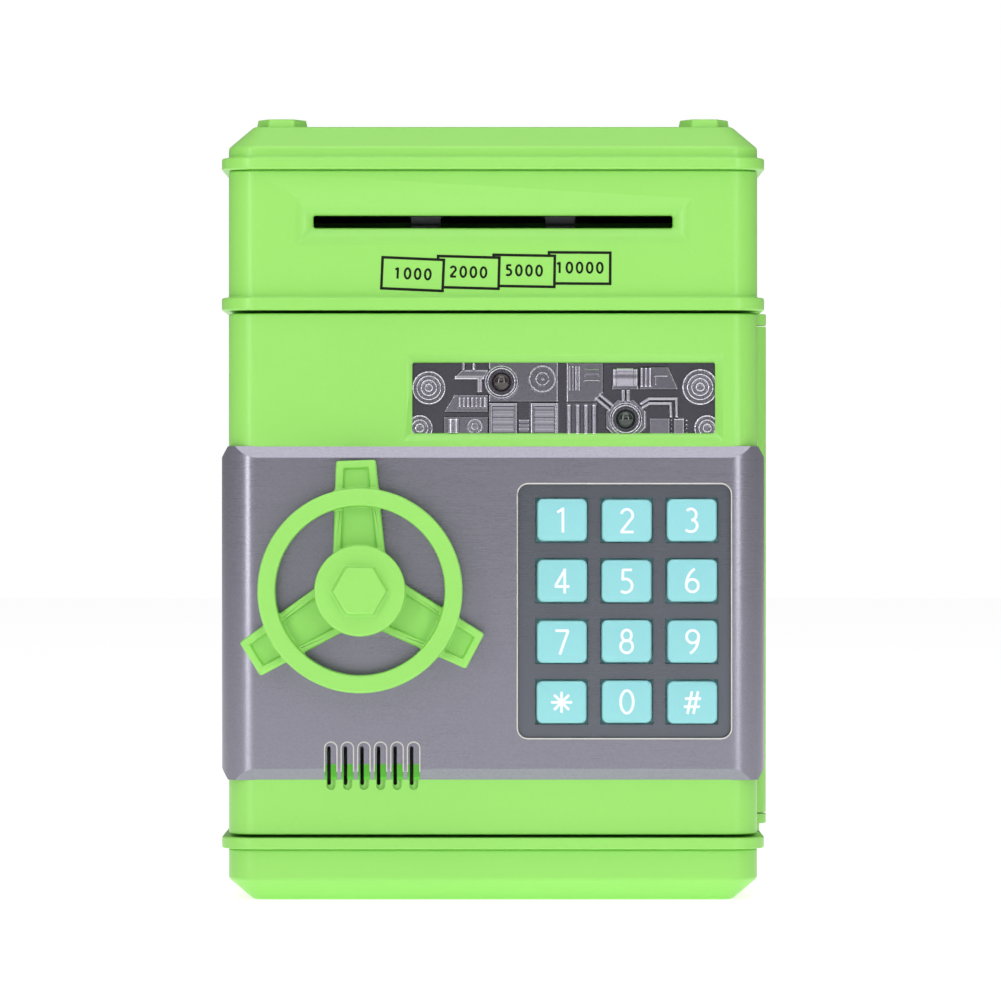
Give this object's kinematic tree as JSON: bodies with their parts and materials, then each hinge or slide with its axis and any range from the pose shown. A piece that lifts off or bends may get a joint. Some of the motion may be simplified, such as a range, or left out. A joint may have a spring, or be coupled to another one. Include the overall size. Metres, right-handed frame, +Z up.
{
  "type": "electronic toy safe money bank",
  "caption": "Toy safe money bank with a hinged keypad door, three-spoke handwheel latch, motorised banknote slot in the front and a coin slot on top.",
  "frame": {"origin": "centre of the case's footprint on the surface that it stands on", "axes": "+Z up, the door and keypad face -Y, the door's hinge is on the +X side"},
  "size_m": [0.1338, 0.1246, 0.1906],
  "materials": {
    "lime_plastic": "satin moulded ABS, lime green",
    "silver_finish": "metallic silver paint on moulded ABS, finely brushed",
    "steel": "zinc plated",
    "brass": "turned",
    "black_plastic": "moulded, fine texture",
    "battery_foil": "printed sleeve on a steel can",
    "roller_rubber": "ground grey rubber",
    "gear_nylon": "natural nylon",
    "circuit_board": "solder mask",
    "wire_sleeve": "vinyl sleeve",
    "red_lens": "clear tinted epoxy",
    "green_lens": "clear tinted epoxy",
    "keypad_rubber": "silicone",
    "key_plastic": "satin moulded turquoise"
  },
  "bodies": {
    "case": {"base_tray": "lime_plastic", "base_top": "lime_plastic", "safe_box": "lime_plastic", "upper_housing": "lime_plastic", "top_cap": "lime_plastic", "hinge_pin": "steel", "battery_box": "black_plastic", "battery_cells": "battery_foil", "battery_contacts": "steel", "feeder_frame": "black_plastic", "chute_cover": "black_plastic", "feed_motor": "steel", "bill_sensor": "circuit_board", "base_screws": "steel", "upper_screws": "steel", "feeder_screws": "steel", "case_leads": "wire_sleeve"},
    "battery_hatch": {"battery_cover": "lime_plastic", "battery_cover_screw": "steel"},
    "feed_roller": {"feed_shaft": "steel", "feed_rollers": "roller_rubber", "feed_gear": "gear_nylon"},
    "pinch_roller": {"pinch_shaft": "steel", "pinch_rollers": "roller_rubber"},
    "motor_rotor": {"motor_pinion": "brass"},
    "door": {"door_shell": "lime_plastic", "silver_band": "silver_finish", "door_liner": "lime_plastic", "relief_plate": "silver_finish", "red_led": "red_lens", "green_led": "green_lens", "led_board": "circuit_board", "keypad_membrane": "keypad_rubber", "control_board": "circuit_board", "board_parts": "black_plastic", "speaker": "black_plastic", "lock_solenoid": "steel", "liner_screws": "steel", "board_screws": "steel", "door_leads": "wire_sleeve", "hinge_leads": "wire_sleeve"},
    "knob": {"handwheel": "lime_plastic", "hub_cap": "lime_plastic", "spindle": "black_plastic", "lock_disc": "black_plastic", "latch_cam": "black_plastic", "latch_screw": "steel"},
    "lock_pin": {"lock_plunger": "steel"},
    "button_1": {"key_1": "key_plastic"},
    "button_2": {"key_2": "key_plastic"},
    "button_3": {"key_3": "key_plastic"},
    "button_4": {"key_4": "key_plastic"},
    "button_5": {"key_5": "key_plastic"},
    "button_6": {"key_6": "key_plastic"},
    "button_7": {"key_7": "key_plastic"},
    "button_8": {"key_8": "key_plastic"},
    "button_9": {"key_9": "key_plastic"},
    "button_star": {"key_star": "key_plastic"},
    "button_0": {"key_0": "key_plastic"},
    "button_hash": {"key_hash": "key_plastic"}
  },
  "joints": [
    {"name": "door_hinge", "type": "hinge", "parent": "case", "child": "door", "pos_m": [0.0634, -0.0269, 0.08], "axis": [0, 0, 1], "range_deg": [0, 115], "deforming": ["hinge_leads"]},
    {"name": "knob_turn", "type": "hinge", "parent": "door", "child": "knob", "pos_m": [-0.032, -0.054, 0.0757], "axis": [0, 1, 0], "range_deg": [0, 90]},
    {"name": "lock_pin_drop", "type": "slide", "parent": "door", "child": "lock_pin", "axis": [0, 0, -1], "range_m": [0, 0.004]},
    {"name": "battery_hatch_lift", "type": "slide", "parent": "case", "child": "battery_hatch", "axis": [0, 1, 0], "range_m": [0, 0.03]},
    {"name": "feed_roller_spin", "type": "hinge", "parent": "case", "child": "feed_roller", "pos_m": [0, -0.036, 0.1591], "axis": [1, 0, 0], "continuous": true},
    {"name": "pinch_roller_spin", "type": "hinge", "parent": "case", "child": "pinch_roller", "pos_m": [0, -0.036, 0.1693], "axis": [1, 0, 0], "continuous": true},
    {"name": "motor_spin", "type": "hinge", "parent": "case", "child": "motor_rotor", "pos_m": [0.05, -0.02189, 0.154], "axis": [1, 0, 0], "continuous": true},
    {"name": "press_1", "type": "slide", "parent": "door", "child": "button_1", "axis": [0, 1, 0], "range_m": [0, 0.0012], "stiffness_N_per_m": 300},
    {"name": "press_2", "type": "slide", "parent": "door", "child": "button_2", "axis": [0, 1, 0], "range_m": [0, 0.0012], "stiffness_N_per_m": 300},
    {"name": "press_3", "type": "slide", "parent": "door", "child": "button_3", "axis": [0, 1, 0], "range_m": [0, 0.0012], "stiffness_N_per_m": 300},
    {"name": "press_4", "type": "slide", "parent": "door", "child": "button_4", "axis": [0, 1, 0], "range_m": [0, 0.0012], "stiffness_N_per_m": 300},
    {"name": "press_5", "type": "slide", "parent": "door", "child": "button_5", "axis": [0, 1, 0], "range_m": [0, 0.0012], "stiffness_N_per_m": 300},
    {"name": "press_6", "type": "slide", "parent": "door", "child": "button_6", "axis": [0, 1, 0], "range_m": [0, 0.0012], "stiffness_N_per_m": 300},
    {"name": "press_7", "type": "slide", "parent": "door", "child": "button_7", "axis": [0, 1, 0], "range_m": [0, 0.0012], "stiffness_N_per_m": 300},
    {"name": "press_8", "type": "slide", "parent": "door", "child": "button_8", "axis": [0, 1, 0], "range_m": [0, 0.0012], "stiffness_N_per_m": 300},
    {"name": "press_9", "type": "slide", "parent": "door", "child": "button_9", "axis": [0, 1, 0], "range_m": [0, 0.0012], "stiffness_N_per_m": 300},
    {"name": "press_star", "type": "slide", "parent": "door", "child": "button_star", "axis": [0, 1, 0], "range_m": [0, 0.0012], "stiffness_N_per_m": 300},
    {"name": "press_0", "type": "slide", "parent": "door", "child": "button_0", "axis": [0, 1, 0], "range_m": [0, 0.0012], "stiffness_N_per_m": 300},
    {"name": "press_hash", "type": "slide", "parent": "door", "child": "button_hash", "axis": [0, 1, 0], "range_m": [0, 0.0012], "stiffness_N_per_m": 300}
  ],
  "couplings": [
    {"joint": "pinch_roller_spin", "follows": "feed_roller_spin", "ratio": -1.5},
    {"joint": "motor_spin", "follows": "feed_roller_spin", "ratio": -4}
  ]
}
